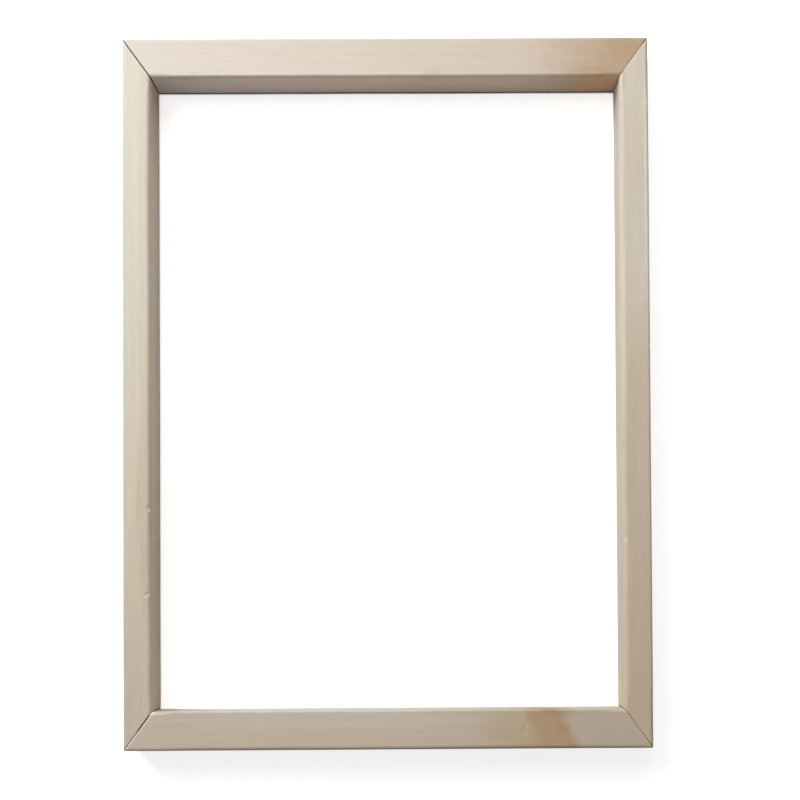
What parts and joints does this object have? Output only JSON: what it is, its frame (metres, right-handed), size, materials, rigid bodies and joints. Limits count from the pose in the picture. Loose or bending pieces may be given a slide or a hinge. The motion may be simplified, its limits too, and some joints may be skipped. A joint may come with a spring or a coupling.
{
  "type": "screen printing frame",
  "caption": "Bare rectangular wooden screen printing frame: pale mitred rails with rounded edges, held at the corners by V-nails driven in from the back.",
  "frame": {"origin": "on the back face's plane, under the middle of the frame", "axes": "+X to the right seen from the front, +Y towards the top rail, +Z out of the front face"},
  "size_m": [0.296, 0.4, 0.025],
  "materials": {
    "rail_wood": "bare planed pale softwood, unfinished, edges rounded",
    "nail_steel": "bright cold rolled strip steel"
  },
  "bodies": {
    "root": {"left_rail": "rail_wood", "right_rail": "rail_wood", "top_rail": "rail_wood", "bottom_rail": "rail_wood", "v_nail_top_left_outer": "nail_steel", "v_nail_top_left_inner": "nail_steel", "v_nail_top_right_outer": "nail_steel", "v_nail_top_right_inner": "nail_steel", "v_nail_bottom_left_outer": "nail_steel", "v_nail_bottom_left_inner": "nail_steel", "v_nail_bottom_right_outer": "nail_steel", "v_nail_bottom_right_inner": "nail_steel"}
  },
  "joints": []
}
